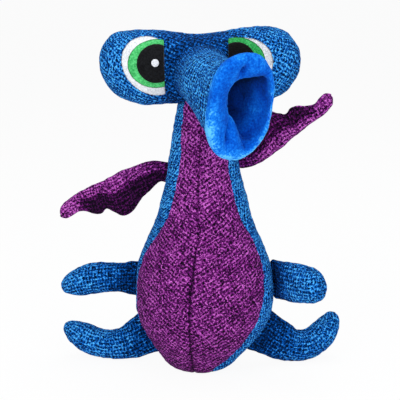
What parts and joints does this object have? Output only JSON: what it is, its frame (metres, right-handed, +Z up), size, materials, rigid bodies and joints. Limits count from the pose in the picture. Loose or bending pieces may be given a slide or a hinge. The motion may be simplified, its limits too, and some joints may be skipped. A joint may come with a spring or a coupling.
{
  "type": "stuffed dog toy",
  "caption": "Stuffed dragon dog toy with a squeaker, a wide head with felt eyes, an open fleece-lined snout, wings and legs.",
  "frame": {"origin": "on the floor under the middle of the seated toy's bounding box", "axes": "+Z up, -Y the way the belly faces, +X to the right of someone who looks at the belly"},
  "size_m": [0.248, 0.163, 0.2958],
  "materials": {
    "blue_cover": "coarse woven cover in bright and near-black blue yarn",
    "purple_cover": "coarse woven cover in bright and near-black purple yarn",
    "blue_fleece": "short-pile fleece",
    "white_felt": "matte felt",
    "green_felt": "matte felt",
    "black_felt": "matte felt",
    "fibre": "loose polyester fibre",
    "squeaker_plastic": "soft translucent vinyl"
  },
  "bodies": {
    "torso": {"belly_cover_left": "purple_cover", "belly_cover_right": "purple_cover", "back_cover_left": "blue_cover", "back_cover_right": "blue_cover", "belly_filling": "fibre", "chest_filling": "fibre", "squeaker_bladder": "squeaker_plastic", "squeaker_reed": "squeaker_plastic"},
    "head": {"face_cover": "blue_cover", "head_back_cover": "blue_cover", "head_filling": "fibre", "eye_left_white": "white_felt", "eye_left_iris": "green_felt", "eye_left_pupil": "black_felt", "eye_left_glint": "white_felt", "eye_right_white": "white_felt", "eye_right_iris": "green_felt", "eye_right_pupil": "black_felt", "eye_right_glint": "white_felt"},
    "snout": {"snout_sleeve": "blue_cover", "snout_filling": "fibre", "snout_fleece_lining": "blue_fleece"},
    "wing_left": {"wing_left_front_cover": "purple_cover", "wing_left_back_cover": "purple_cover", "wing_left_batting": "fibre"},
    "wing_right": {"wing_right_front_cover": "purple_cover", "wing_right_back_cover": "purple_cover", "wing_right_batting": "fibre"},
    "fore_leg_left": {"fore_leg_left_front_cover": "blue_cover", "fore_leg_left_back_cover": "blue_cover", "fore_leg_left_filling": "fibre"},
    "fore_leg_right": {"fore_leg_right_front_cover": "blue_cover", "fore_leg_right_back_cover": "blue_cover", "fore_leg_right_filling": "fibre"},
    "hind_leg_left": {"hind_leg_left_front_cover": "blue_cover", "hind_leg_left_back_cover": "blue_cover", "hind_leg_left_filling": "fibre"},
    "hind_leg_right": {"hind_leg_right_front_cover": "blue_cover", "hind_leg_right_back_cover": "blue_cover", "hind_leg_right_filling": "fibre"}
  },
  "joints": [
    {"name": "head_nod", "type": "hinge", "parent": "torso", "child": "head", "pos_m": [0.00627, 0.03301, 0.2255], "axis": [0.9942, 0.1045, 0.0243], "range_deg": [-20, 30], "stiffness_Nm_per_rad": 0.5, "springref_deg": -1.15},
    {"name": "snout_swing", "type": "hinge", "parent": "head", "child": "snout", "pos_m": [0.00976, -0.00765, 0.2576], "axis": [-0.0244, 0, 0.9997], "range_deg": [-60, 15], "stiffness_Nm_per_rad": 0.03},
    {"name": "wing_left_flap", "type": "hinge", "parent": "torso", "child": "wing_left", "pos_m": [-0.02754, 0.04032, 0.16774], "axis": [0.2275, -0.0459, 0.9727], "range_deg": [-65, 38], "stiffness_Nm_per_rad": 0.02},
    {"name": "wing_right_flap", "type": "hinge", "parent": "torso", "child": "wing_right", "pos_m": [0.03503, 0.03971, 0.18611], "axis": [-0.1053, -0.0211, 0.9942], "range_deg": [-38, 65], "stiffness_Nm_per_rad": 0.02},
    {"name": "fore_leg_left_swing", "type": "hinge", "parent": "torso", "child": "fore_leg_left", "pos_m": [-0.05291, 0.04423, 0.07536], "axis": [0.0538, -0.0001, 0.9986], "range_deg": [-70, 38], "stiffness_Nm_per_rad": 0.02},
    {"name": "fore_leg_right_swing", "type": "hinge", "parent": "torso", "child": "fore_leg_right", "pos_m": [0.06501, 0.0442, 0.07911], "axis": [-0.0919, -0.0057, 0.9958], "range_deg": [-4, 90], "stiffness_Nm_per_rad": 0.02},
    {"name": "hind_leg_left_swing", "type": "hinge", "parent": "torso", "child": "hind_leg_left", "pos_m": [-0.04008, 0.04786, 0.02851], "axis": [-0.4735, 0.1508, 0.8678], "range_deg": [-70, 30], "stiffness_Nm_per_rad": 0.03},
    {"name": "hind_leg_right_swing", "type": "hinge", "parent": "torso", "child": "hind_leg_right", "pos_m": [0.05158, 0.04837, 0.03159], "axis": [0.5008, 0.1361, 0.8548], "range_deg": [-50, 55], "stiffness_Nm_per_rad": 0.03}
  ]
}
